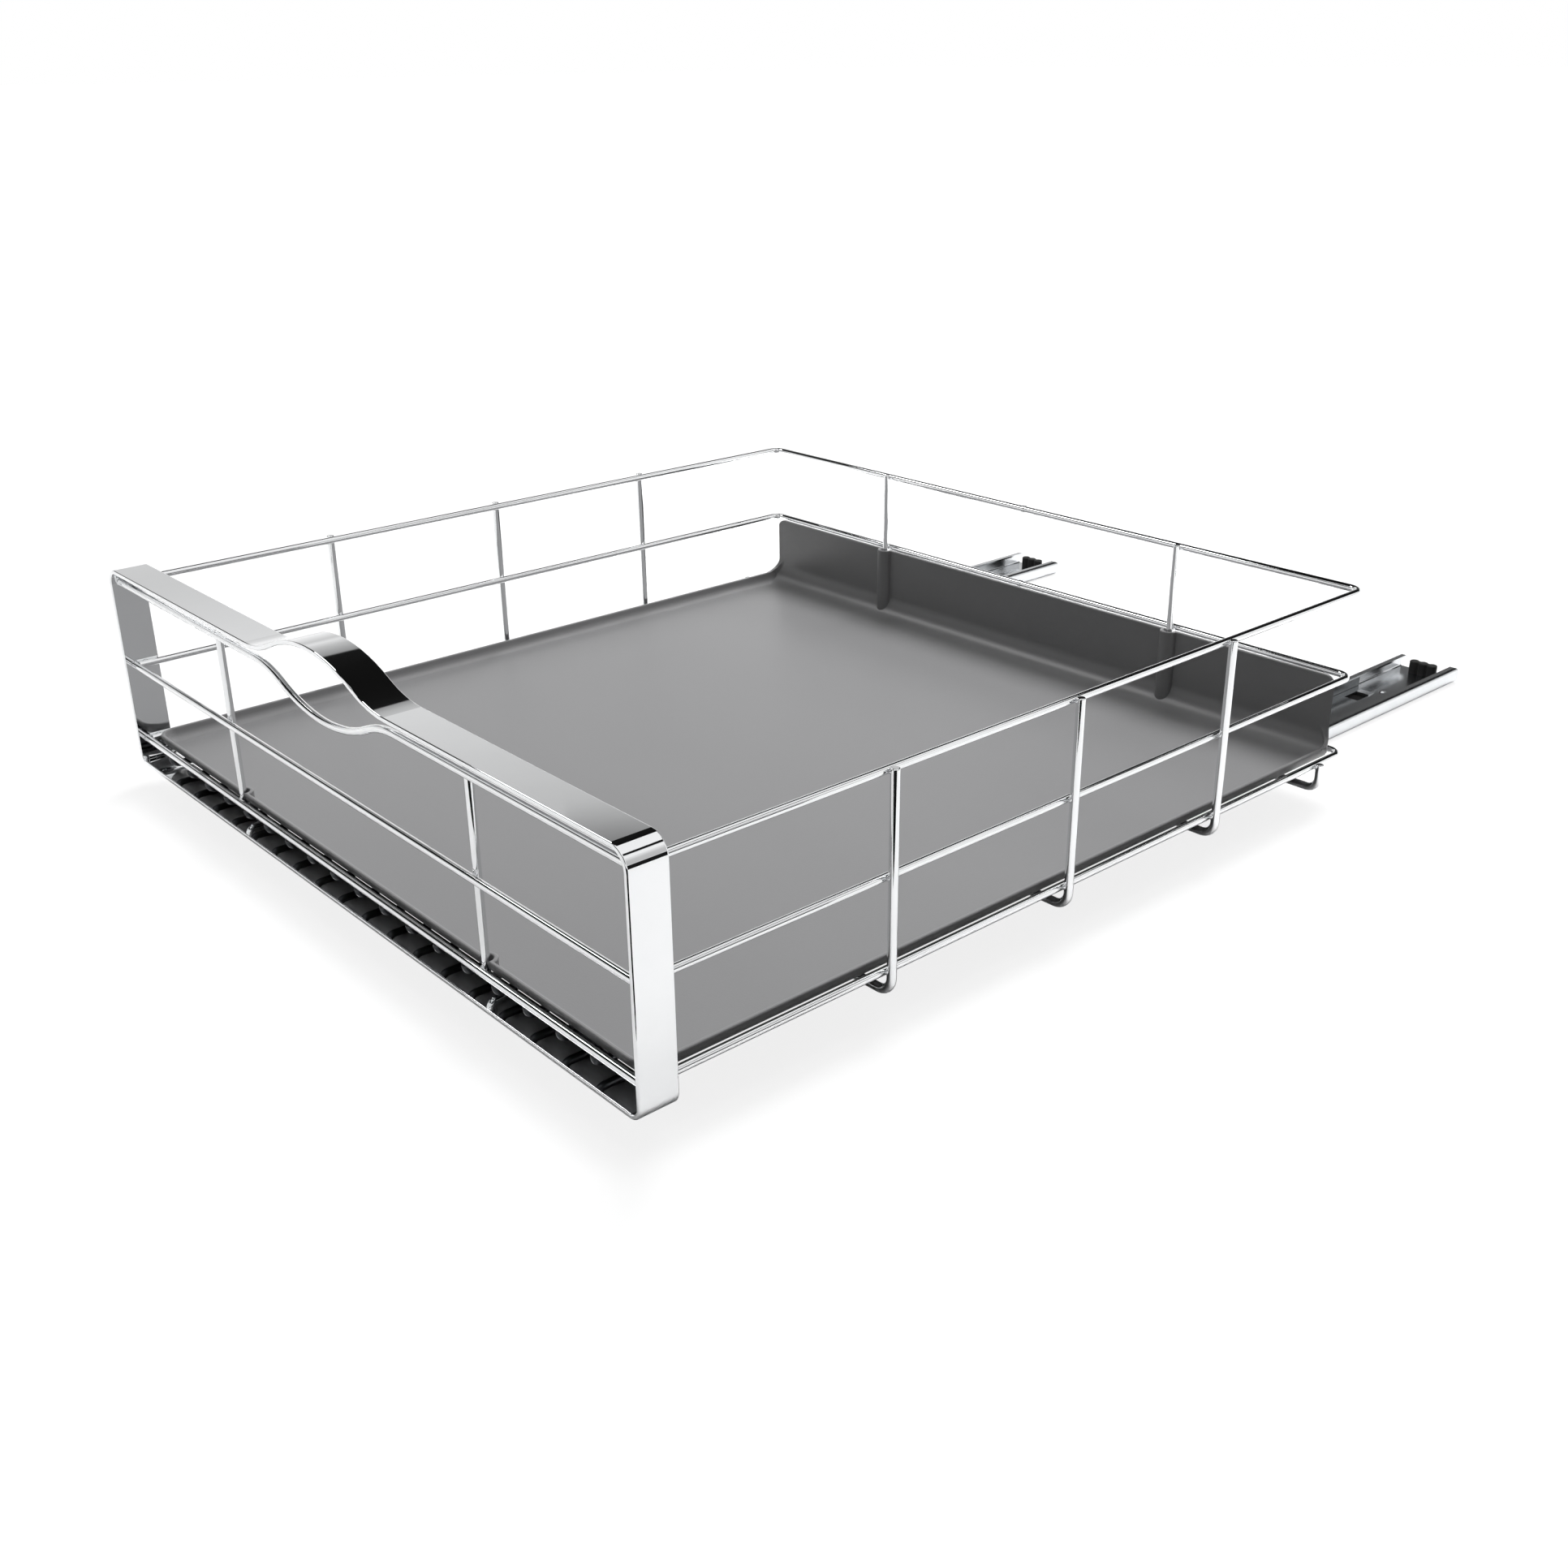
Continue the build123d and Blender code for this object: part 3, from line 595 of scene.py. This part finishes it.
@dataclass
class WireBasket:
    """The rails, the cross wires, the latch wire, the lengthwise wires and the floor wires."""

    rail_x: float = 245.65
    rail_radius: float = 2.0
    rail_heights: tuple[float, ...] = (27.0, 73.5, 124.0)
    back_place: float = 22.0
    cross_x: float = 249.8
    cross_places: tuple[float, ...] = (-345.0, -224.5, -105.0)
    cross_top: float = 19.0
    latch_place: float = -6.0
    upright_x: float = 124.0
    front_wire_place: float = -478.5
    strip_middle: float = -472.0
    strip_inside: float = 247.6
    floor_wire_count: int = 18
    floor_wire_first: float = -212.5
    floor_wire_pitch: float = 25.0
    hook_top: float = 25.0
    # A weld's half length and half height, and how deep its middle sits in what it holds.
    strip_weld: tuple[float, float] = (2.2, 0.7)
    front_weld: tuple[float, float] = (2.3, 0.8)
    strip_sink: float = 0.3
    floor_weld: tuple[float, float] = (1.6, 0.8)
    floor_sink: float = 0.05
    hook_weld: tuple[float, float] = (1.9, 0.45)
    floor_wires: str = "floor_wires"
    wires: tuple[str, ...] = (
        "top_rail",
        "middle_rail",
        "bottom_rail",
        "cross_wire_front",
        "cross_wire_middle",
        "cross_wire_back",
        "rear_latch_wire",
        "lengthwise_wire_left",
        "lengthwise_wire_right",
    )

    def side_welds(self) -> list[Weld]:
        """The spots between rails, uprights, front wires and frame.

        Returns:
            The welds.
        """
        spots = []
        touch_x = (self.rail_x + self.cross_x) / 2
        strip_x = self.strip_inside - self.strip_sink
        front_y = self.front_wire_place + self.rail_radius
        back_y = self.back_place - self.rail_radius
        for hand in (-1, 1):
            for z in self.rail_heights:
                spots += [Weld(hand * touch_x, y, z, Axis.X) for y in self.cross_places]
                spots.append(Weld(hand * strip_x, self.strip_middle, z, Axis.X, *self.strip_weld))
                spots.append(Weld(hand * strip_x, self.front_wire_place, z, Axis.X, *self.front_weld))
                spots += [Weld(hand * self.upright_x, y, z, Axis.Y) for y in (front_y, back_y)]
            spots.append(Weld(hand * touch_x, self.latch_place, self.rail_heights[0], Axis.X))
        return spots

    def floor_welds(self) -> list[Weld]:
        """The spots under the floor and lengthwise wires, and at the floor wires' back hooks.

        Returns:
            The welds.
        """
        steps = range(self.floor_wire_count)
        places = [self.floor_wire_first + step * self.floor_wire_pitch for step in steps]
        spots = [Weld(x, self.back_place, self.hook_top, Axis.Z, *self.hook_weld) for x in places]
        z = self.cross_top - self.floor_sink
        for x in (*places, -self.upright_x, self.upright_x):
            spots += [Weld(x, y, z, Axis.Z, *self.floor_weld) for y in self.cross_places]
        return spots

    def weld_fillets(self, name: str, spots: list[Weld], finish: Finish) -> bpy.types.Object:
        """The plated-over fillets of weld metal that fill the corner where two wires touch.

        Args:
            name: The piece's name.
            spots: The welds.
            finish: The plate on them.

        Returns:
            The piece.
        """
        bm = bmesh.new()
        for spot in spots:
            half = [spot.half_length] * 3
            half[spot.across.value] = spot.half_height
            at = Matrix.Translation(Vector((spot.x, spot.y, spot.z)) * MM)
            grow = Matrix.Diagonal([size * MM for size in half] + [1.0])
            bmesh.ops.create_icosphere(bm, subdivisions=2, radius=1.0, matrix=at @ grow)
        return new_piece(name, bm, "basket", finish)

    def build(self) -> None:
        """Dresses the wires and adds the weld fillets."""
        for wire in self.wires:
            dress(wire, WIRE_CHROME)
        # The floor wires and their floor welds take chrome darkened with painted shade.
        dress(self.floor_wires, UNDERFLOOR_SHADE_CHROME)
        self.weld_fillets("side_weld_fillets", self.side_welds(), WELD_CHROME)
        self.weld_fillets("floor_weld_fillets", self.floor_welds(), UNDERFLOOR_SHADE_CHROME)


@dataclass
class Tray:
    """The moulded tray that lies on the floor wires."""

    node: str = "tray"
    wall_face: float = 17.3
    floor_top: float = 25.0
    half_width: float = 238.6
    cove_radius: float = 14.0
    cove_steps: int = 24
    # How far the cove's back and underside reach into the wall and the floor.
    bite: float = 0.4
    # Edges that turn by more than this many radians stay sharp.
    crease: float = 0.6

    def cove(self) -> bpy.types.Object:
        """The smooth cove where the floor turns up into the back wall, from side to side.

        Returns:
            The piece.
        """
        bm = bmesh.new()
        mid_y = self.wall_face - self.cove_radius
        mid_z = self.floor_top + self.cove_radius
        mid = Vector((-self.half_width, mid_y, mid_z)) * MM
        start = bm.verts.new(mid - Vector((0.0, 0.0, self.cove_radius * MM)))
        bmesh.ops.spin(
            bm, geom=[start], cent=mid, axis=(1, 0, 0), angle=math.radians(90.0), steps=self.cove_steps
        )
        behind, beneath = (self.wall_face + self.bite) * MM, (self.floor_top - self.bite) * MM
        for y, z in ((behind, mid.z), (behind, beneath), (mid.y, beneath)):
            bm.verts.new((mid.x, y, z))
        face = bm.faces.new(bm.verts[:])
        grown = bmesh.ops.extrude_face_region(bm, geom=[face])["geom"]
        far = [v for v in grown if isinstance(v, bmesh.types.BMVert)]
        bmesh.ops.translate(bm, verts=far, vec=(2 * self.half_width * MM, 0.0, 0.0))
        bmesh.ops.recalc_face_normals(bm, faces=bm.faces)
        sharp = [edge for edge in bm.edges if edge.calc_face_angle(0.0) > self.crease]
        bmesh.ops.split_edges(bm, edges=sharp)
        return new_piece("tray_back_cove", bm, "basket", TRAY_ABS)

    def build(self) -> None:
        """Dresses the tray and lays the cove."""
        dress(self.node, TRAY_ABS)
        self.cove()


@dataclass
class BallSlide:
    """One slide: outer rail, middle and inner members, ball cages, balls and the rubber bumper."""

    side: Side

    def build(self) -> None:
        """Dresses every member of the slide."""
        finishes = {
            "outer_rail": ZINC,
            "middle_member": ZINC,
            "inner_member": ZINC,
            "outer_cage": CAGE_STRIP,
            "inner_cage": CAGE_STRIP,
            "outer_balls": BALL_STEEL,
            "inner_balls": BALL_STEEL,
            "bumper": BUMPER_RUBBER,
        }
        for part, finish in finishes.items():
            dress(f"{part}_{self.side.value}", finish)


@dataclass
class BasketCarrier:
    """What holds the basket on one slide: carrier plate, saddles, clamps and their screws."""

    side: Side

    def build(self) -> None:
        """Dresses the plate, the saddles, the clamps and the screws."""
        finishes = {"carrier": ZINC, "saddles": SADDLE_NYLON, "clamps": ZINC, "screws": ZINC}
        for part, finish in finishes.items():
            dress(f"{part}_{self.side.value}", finish)


@dataclass
class PhotoCamera:
    """The camera where the photograph was taken from, solved from the basket's straight wires."""

    place: tuple[float, float, float] = (0.69858, -0.79781, 0.39991)
    azimuth: float = 48.932
    elevation: float = 23.831
    roll: float = -0.648
    lens: float = 38.11
    sensor: float = 36.0
    clip: tuple[float, float] = (0.01, 50.0)

    def build(self) -> None:
        """Sets up the camera as the scene's own."""
        az, el, roll = (math.radians(a) for a in (self.azimuth, self.elevation, self.roll))
        ahead = Vector((-math.sin(az) * math.cos(el), math.cos(az) * math.cos(el), -math.sin(el)))
        level = Vector((math.cos(az), math.sin(az), 0.0))
        up = level.cross(ahead)
        right = level * math.cos(roll) + up * math.sin(roll)
        top = up * math.cos(roll) - level * math.sin(roll)
        data = bpy.data.cameras.new("photo_camera")
        data.sensor_width = self.sensor
        data.lens = self.lens
        data.clip_start, data.clip_end = self.clip
        camera = bpy.data.objects.new("photo_camera", data)
        turn = Matrix((right, top, -ahead)).transposed().to_4x4()
        camera.matrix_world = Matrix.Translation(Vector(self.place)) @ turn
        bpy.context.scene.collection.objects.link(camera)
        bpy.context.scene.camera = camera
        log.info("camera: lens %.2f mm", self.lens)


@dataclass(frozen=True)
class Flag:
    """A graded card on a dome round the table, cut to a span of directions in degrees from +X.

    Its tones are (height above level in degrees, brightness) from its lower edge to its upper one.
    """

    name: str
    azimuth: tuple[float, float]
    tones: tuple[tuple[float, float], ...]
    radius: float = 4.0


@dataclass(frozen=True)
class SoftBox:
    """A rectangular soft box: its middle, the point that it faces, its sizes in metres and its watts.

    A box that the wires must not mirror lights only, and a rim light only glints.
    """

    name: str
    place: tuple[float, float, float]
    aim: tuple[float, float, float]
    width: float
    depth: float
    power: float
    lights: bool
    glints: bool


# The tones that the two cards mirrored by the flat bar share, and those of the two cards in front.
BAR_SHEEN = ((4.0, 1.0), (14.0, 0.74), (17.2, 0.66), (21.7, 0.86), (28.3, 0.58))
FRONT_TONES = ((4.0, 1.0), (14.0, 0.7), (18.0, 0.02), (46.0, 0.01))


@dataclass
class Studio:
    """The pale table, the soft boxes and the cards that give bright metal its dark lines."""

    floor_half: float = 30.0
    floor_drop: float = 0.0006
    # The table is pale where metal mirrors it and grey where it throws light on the object. To the
    # camera it is grey with a glow that brings it back to white, so that the shadow stays faint.
    floor_mirrored: str = "#F8F8F8"
    floor_throwing: str = "#808080"
    floor_seen: str = "#7C7C7C"
    floor_glow: float = 0.84
    # Far from the object the glow grows, so that the table meets the white behind it with no line.
    far_glow: float = 0.62
    far_glow_span: tuple[float, float] = (0.5, 2.2)
    # The fill is strong from behind on the left and weak from everywhere else.
    fill_from: tuple[float, float, float] = (-0.6, 0.8, 0.0)
    fill_span: tuple[float, float] = (-0.4, 0.6)
    weak_fill: float = 0.06
    strong_fill: float = 0.5
    boxes: tuple[SoftBox, ...] = (
        SoftBox(
            "back_box",
            place=(-0.45, 0.98, 1.75),
            aim=(0.0, -0.25, 0.0),
            width=1.4,
            depth=0.9,
            power=58.0,
            lights=True,
            glints=False,
        ),
        SoftBox(
            "top_box",
            place=(0.05, -0.1, 1.15),
            aim=(0.02, -0.2, 0.0),
            width=0.7,
            depth=0.6,
            power=3.5,
            lights=True,
            glints=False,
        ),
        SoftBox(
            "left_strip",
            place=(-0.93, -0.5, 1.2),
            aim=(-0.93, -0.5, 0.0),
            width=0.7,
            depth=0.45,
            power=7.0,
            lights=False,
            glints=True,
        ),
    )
    flags: tuple[Flag, ...] = (
        Flag(
            "back_card",
            (98.0, 118.0),
            ((4.0, 1.0), (8.0, 0.9), (16.0, 0.14), (22.0, 0.05), (54.0, 0.005)),
        ),
        Flag("bend_card", (118.0, 129.0), ((4.0, 1.0), (8.0, 0.9), (16.0, 0.02), (62.0, 0.005))),
        Flag("end_card", (129.0, 152.0), (*BAR_SHEEN, (30.0, 0.28), (31.5, 0.01), (72.0, 0.005))),
        Flag("handle_card", (152.0, 172.0), (*BAR_SHEEN, (38.0, 0.34), (39.5, 0.01), (72.0, 0.005))),
        Flag(
            "left_card",
            (172.0, 236.0),
            ((4.0, 1.0), (14.0, 0.8), (19.0, 0.7), (23.5, 0.02), (72.0, 0.005)),
        ),
        Flag("gap_card", (78.0, 98.0), ((12.0, 0.98), (16.0, 0.9), (20.0, 0.01), (46.0, 0.005))),
        Flag("side_card", (62.0, 78.0), ((12.0, 0.95), (16.0, 0.9), (20.0, 0.01), (46.0, 0.005))),
        Flag("seam_card", (34.0, 60.0), ((44.0, 0.95), (46.0, 0.01), (52.5, 0.005))),
        Flag("near_card", (12.0, 34.0), ((4.0, 1.0), (12.0, 0.55), (24.0, 0.6), (36.0, 0.95))),
        Flag("front_left_card", (240.0, 286.0), FRONT_TONES),
        Flag("front_right_card", (300.0, 346.0), FRONT_TONES),
        Flag("skirting", (-8.0, 10.0), ((0.0, 0.01), (13.0, 0.01)), 1.0),
    )
    card_steps: int = 24
    # The front card's corner, its height over the table, and its two sides in degrees from +X.
    front_corner: tuple[float, float] = (0.345, -0.44)
    front_lift: float = 0.002
    front_sides: tuple[float, float] = (16.0, -106.0)
    front_reach: float = 4.0
    front_tone: float = 0.01
    # Black patches of painted shade on the table under the slides' punched holes, where the slides shade
    # it.
    hole_shade_spots: tuple[tuple[float, float], ...] = ((0.1762, 0.172), (-0.1762, 0.172))
    hole_shade_half: float = 0.014
    hole_shade_colour: str = "#1A1A1A"

    def seen(self, tree: bpy.types.NodeTree) -> bpy.types.NodeSocket:
        """Whether a ray comes from the camera, a reflection or glass.

        Args:
            tree: The node tree.

        Returns:
            A factor of 0 or 1.
        """
        path = add_node(tree, "ShaderNodeLightPath")
        mirror = add_node(
            tree,
            "ShaderNodeMath",
            {"operation": "MAXIMUM"},
            {},
            {0: path.outputs["Is Glossy Ray"], 1: path.outputs["Is Transmission Ray"]},
        )
        either = add_node(
            tree,
            "ShaderNodeMath",
            {"operation": "MAXIMUM"},
            {},
            {0: path.outputs["Is Camera Ray"], 1: mirror.outputs[0]},
        )
        return either.outputs[0]

    def build_world(self) -> None:
        """White where it is seen, and a quiet fill where it lights."""
        world = bpy.data.worlds.new("studio")
        tree = blank_tree(world)
        at = add_node(tree, "ShaderNodeTexCoord")
        towards = add_node(
            tree,
            "ShaderNodeVectorMath",
            {"operation": "DOT_PRODUCT"},
            {1: self.fill_from},
            {0: at.outputs["Generated"]},
        )
        start, end = self.fill_span
        fill = add_node(
            tree,
            "ShaderNodeMapRange",
            {"interpolation_type": "SMOOTHSTEP"},
            {"From Min": start, "From Max": end, "To Min": self.weak_fill, "To Max": self.strong_fill},
            {"Value": towards.outputs["Value"]},
        )
        strength = add_node(
            tree,
            "ShaderNodeMix",
            {"data_type": "FLOAT"},
            {MIX_B: 1.0},
            {MIX_SHARE: self.seen(tree), MIX_A: fill.outputs[0]},
        )
        shade = add_node(
            tree,
            "ShaderNodeBackground",
            {},
            {"Color": linear("#FFFFFF")},
            {"Strength": strength.outputs[0]},
        )
        add_node(tree, "ShaderNodeOutputWorld", {}, {}, {"Surface": shade.outputs[0]})
        bpy.context.scene.world = world

    def floor_material(self) -> bpy.types.Material:
        """White laminate that stays near white and keeps the object's shadow.

        Returns:
            The material.
        """
        made = bpy.data.materials.new("white_table_laminate")
        tree = blank_tree(made)
        path = add_node(tree, "ShaderNodeLightPath")
        thrown = add_node(
            tree,
            "ShaderNodeMix",
            {"data_type": "RGBA"},
            {MIX_COLOUR_A: linear(self.floor_mirrored), MIX_COLOUR_B: linear(self.floor_throwing)},
            {MIX_SHARE: path.outputs["Is Diffuse Ray"]},
        )
        colour = add_node(
            tree,
            "ShaderNodeMix",
            {"data_type": "RGBA"},
            {MIX_COLOUR_B: linear(self.floor_seen)},
            {MIX_SHARE: path.outputs["Is Camera Ray"], MIX_COLOUR_A: thrown.outputs[MIX_COLOUR]},
        )
        lit = add_node(tree, "ShaderNodeBsdfDiffuse", {}, {}, {"Color": colour.outputs[MIX_COLOUR]})
        at = add_node(tree, "ShaderNodeTexCoord")
        away = add_node(
            tree,
            "ShaderNodeVectorMath",
            {"operation": "LENGTH"},
            {},
            {0: at.outputs["Object"]},
        )
        start, end = self.far_glow_span
        far = add_node(
            tree,
            "ShaderNodeMapRange",
            {"interpolation_type": "SMOOTHSTEP"},
            {"From Min": start, "From Max": end, "To Min": 0.0, "To Max": self.far_glow},
            {"Value": away.outputs["Value"]},
        )
        near = add_node(
            tree,
            "ShaderNodeMath",
            {"operation": "MULTIPLY_ADD"},
            {1: self.floor_glow},
            {0: path.outputs["Is Camera Ray"], 2: far.outputs[0]},
        )
        strength = add_node(
            tree,
            "ShaderNodeMath",
            {"operation": "MULTIPLY"},
            {},
            {0: near.outputs[0], 1: self.seen(tree)},
        )
        glow = add_node(
            tree,
            "ShaderNodeEmission",
            {},
            {"Color": linear("#FFFFFF")},
            {"Strength": strength.outputs[0]},
        )
        both = add_node(tree, "ShaderNodeAddShader", {}, {}, {0: lit.outputs[0], 1: glow.outputs[0]})
        add_node(tree, "ShaderNodeOutputMaterial", {}, {}, {"Surface": both.outputs[0]})
        return made

    def build_floor(self) -> None:
        """Lays the pale table."""
        bm = bmesh.new()
        bmesh.ops.create_grid(bm, x_segments=1, y_segments=1, size=self.floor_half)
        bmesh.ops.translate(bm, verts=bm.verts, vec=(0.0, 0.0, -self.floor_drop))
        self.stand("table_top", bm, self.floor_material())

    def build_box(self, box: SoftBox) -> None:
        """Hangs one soft box.

        Args:
            box: The soft box.
        """
        data = bpy.data.lights.new(box.name, "AREA")
        data.shape = "RECTANGLE"
        data.size, data.size_y, data.energy = box.width, box.depth, box.power
        lamp = bpy.data.objects.new(box.name, data)
        lamp.location = box.place
        lamp.rotation_mode = "QUATERNION"
        lamp.rotation_quaternion = (Vector(box.aim) - Vector(box.place)).to_track_quat("-Z", "Y")
        lamp.visible_diffuse, lamp.visible_glossy = box.lights, box.glints
        bpy.context.scene.collection.objects.link(lamp)

    def card_material(self, name: str, heights: list[tuple[float, float]]) -> bpy.types.Material:
        """A graded card, from lit paper to black felt.

        Args:
            name: The material's name.
            heights: Brightness at heights in metres, from the lowest up.

        Returns:
            The material.
        """
        made = bpy.data.materials.new(name)
        tree = blank_tree(made)
        at = add_node(tree, "ShaderNodeTexCoord")
        parts = add_node(tree, "ShaderNodeSeparateXYZ", {}, {}, {0: at.outputs["Object"]})
        low, high = heights[0][0], heights[-1][0]
        along = add_node(
            tree,
            "ShaderNodeMapRange",
            {},
            {"From Min": low, "From Max": high},
            {"Value": parts.outputs["Z"]},
        )
        fade = add_node(tree, "ShaderNodeValToRGB", {}, {}, {"Fac": along.outputs[0]})
        stops = fade.color_ramp.elements
        stops[0].position, stops[1].position = 0.0, 1.0
        for height, tone in heights[1:-1]:
            stops.new((height - low) / (high - low)).color = (tone, tone, tone, 1.0)
        stops[0].color = (heights[0][1],) * 3 + (1.0,)
        stops[-1].color = (heights[-1][1],) * 3 + (1.0,)
        glow = add_node(tree, "ShaderNodeEmission", {}, {"Strength": 1.0}, {"Color": fade.outputs[0]})
        add_node(tree, "ShaderNodeOutputMaterial", {}, {}, {"Surface": glow.outputs[0]})
        return made

    def stand(self, name: str, bm: bmesh.types.BMesh, material: bpy.types.Material) -> bpy.types.Object:
        """Stands a prop in the studio, apart from the object.

        Args:
            name: Its name.
            bm: Its bmesh in metres; it is freed.
            material: Its material.

        Returns:
            The prop.
        """
        mesh = bpy.data.meshes.new(name)
        bm.to_mesh(mesh)
        bm.free()
        mesh.materials.append(material)
        prop = bpy.data.objects.new(name, mesh)
        bpy.context.scene.collection.objects.link(prop)
        return prop

    def stand_card(self, name: str, bm: bmesh.types.BMesh, heights: list[tuple[float, float]]) -> None:
        """Stands a card that shows in reflections only, and neither blocks nor colours the light.

        Args:
            name: Its name.
            bm: Its bmesh in metres; it is freed.
            heights: Brightness at heights in metres, from the lowest up.
        """
        card = self.stand(name, bm, self.card_material(name, heights))
        card.visible_camera = card.visible_diffuse = card.visible_shadow = False
        card.visible_transmission = card.visible_volume_scatter = False

    def build_flag(self, flag: Flag) -> None:
        """Cuts one card out of the dome.

        Args:
            flag: Its window of directions.
        """
        bm = bmesh.new()
        middle = Vector((0.0, 0.0, 0.0))
        low, high = math.radians(flag.tones[0][0]), math.radians(flag.tones[-1][0])
        start, end = (math.radians(angle) for angle in flag.azimuth)
        foot = bm.verts.new((flag.radius * math.cos(low), 0.0, flag.radius * math.sin(low)))
        bmesh.ops.spin(
            bm, geom=[foot], cent=middle, axis=(0, -1, 0), angle=high - low, steps=self.card_steps
        )
        bmesh.ops.rotate(bm, verts=bm.verts, cent=middle, matrix=Matrix.Rotation(start, 3, "Z"))
        rib = bm.verts[:] + bm.edges[:]
        bmesh.ops.spin(
            bm, geom=rib, cent=middle, axis=(0, 0, 1), angle=end - start, steps=self.card_steps
        )
        heights = [(flag.radius * math.sin(math.radians(tilt)), tone) for tilt, tone in flag.tones]
        self.stand_card(flag.name, bm, heights)

    def build_front_card(self) -> None:
        """The dark floor in front of the table, a corner that the uprights mirror as a wedge."""
        bm = bmesh.new()
        corner = Vector((*self.front_corner, self.front_lift - self.floor_drop))
        right, left = (
            Vector((math.cos(side), math.sin(side), 0.0)) * self.front_reach
            for side in map(math.radians, self.front_sides)
        )
        spots = (corner, corner + left, corner + right + left, corner + right)
        bm.faces.new([bm.verts.new(spot) for spot in spots])
        self.stand_card("front_card", bm, [(height, self.front_tone) for height in (0.0, 0.1)])

    def build_hole_shades(self) -> None:
        """Lays a black patch of painted shade under each slide, which shows only through its punched
        hole.
        """
        hole_shade = bpy.data.materials.new("painted_shade_under_slide_hole")
        tree = blank_tree(hole_shade)
        nap = add_node(tree, "ShaderNodeBsdfDiffuse", {}, {"Color": linear(self.hole_shade_colour)})
        add_node(tree, "ShaderNodeOutputMaterial", {}, {}, {"Surface": nap.outputs[0]})
        for number, (x, y) in enumerate(self.hole_shade_spots):
            bm = bmesh.new()
            bmesh.ops.create_grid(bm, x_segments=1, y_segments=1, size=self.hole_shade_half)
            bmesh.ops.translate(bm, verts=bm.verts, vec=(x, y, -self.floor_drop / 2))
            self.stand(f"felt_{number}", bm, hole_shade)

    def build(self) -> None:
        """Sets up the table, the soft boxes and the cards."""
        self.build_world()
        self.build_floor()
        for box in self.boxes:
            self.build_box(box)
        for flag in self.flags:
            self.build_flag(flag)
        self.build_front_card()
        self.build_hole_shades()
        bpy.context.scene.view_settings.view_transform = "Standard"
        log.info("studio: table, %d soft boxes, %d cards", len(self.boxes), len(self.flags) + 1)


def main() -> None:
    """Builds the sub-assemblies in order, then the camera and the studio."""
    logging.basicConfig(level=logging.INFO, format="%(name)s %(message)s")
    FrontFrame().build()
    WireBasket().build()
    Tray().build()
    for side in Side:
        BallSlide(side).build()
        BasketCarrier(side).build()
    PhotoCamera().build()
    Studio().build()


if __name__ == "__main__":
    main()
